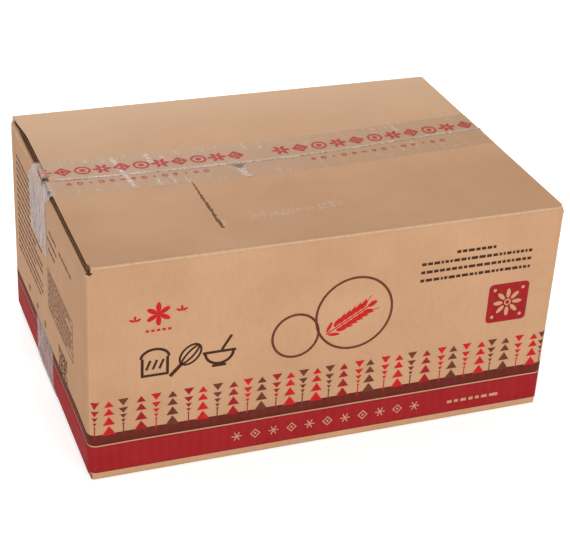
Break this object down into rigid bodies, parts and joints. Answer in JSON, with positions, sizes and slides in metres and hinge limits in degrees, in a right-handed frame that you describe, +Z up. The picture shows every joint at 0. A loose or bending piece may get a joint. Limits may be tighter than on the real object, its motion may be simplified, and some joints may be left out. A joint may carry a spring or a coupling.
{
  "type": "bulk carton of baking fat",
  "caption": "Slotted carton of kraft board, filled with baking fat and taped shut, printed in flat red and brown, with a tear in its front top flap.",
  "frame": {"origin": "centre of the underside, on the surface the carton stands on", "axes": "+X along the carton's length, +Y towards the back, +Z up; the torn top flap is the front one, at -Y"},
  "size_m": [0.3804, 0.27, 0.1852],
  "materials": {
    "kraft_board": "matt uncoated kraft liner, printed in flat red and brown ink",
    "film_tape": "clear glossy packing film over kraft board, printed in red",
    "red_ink": "flat flexographic red on kraft liner",
    "brown_ink": "flat flexographic brown on kraft liner"
  },
  "bodies": {
    "root": {"carton": "kraft_board", "top_tape": "film_tape", "bottom_tape": "film_tape"}
  },
  "joints": []
}
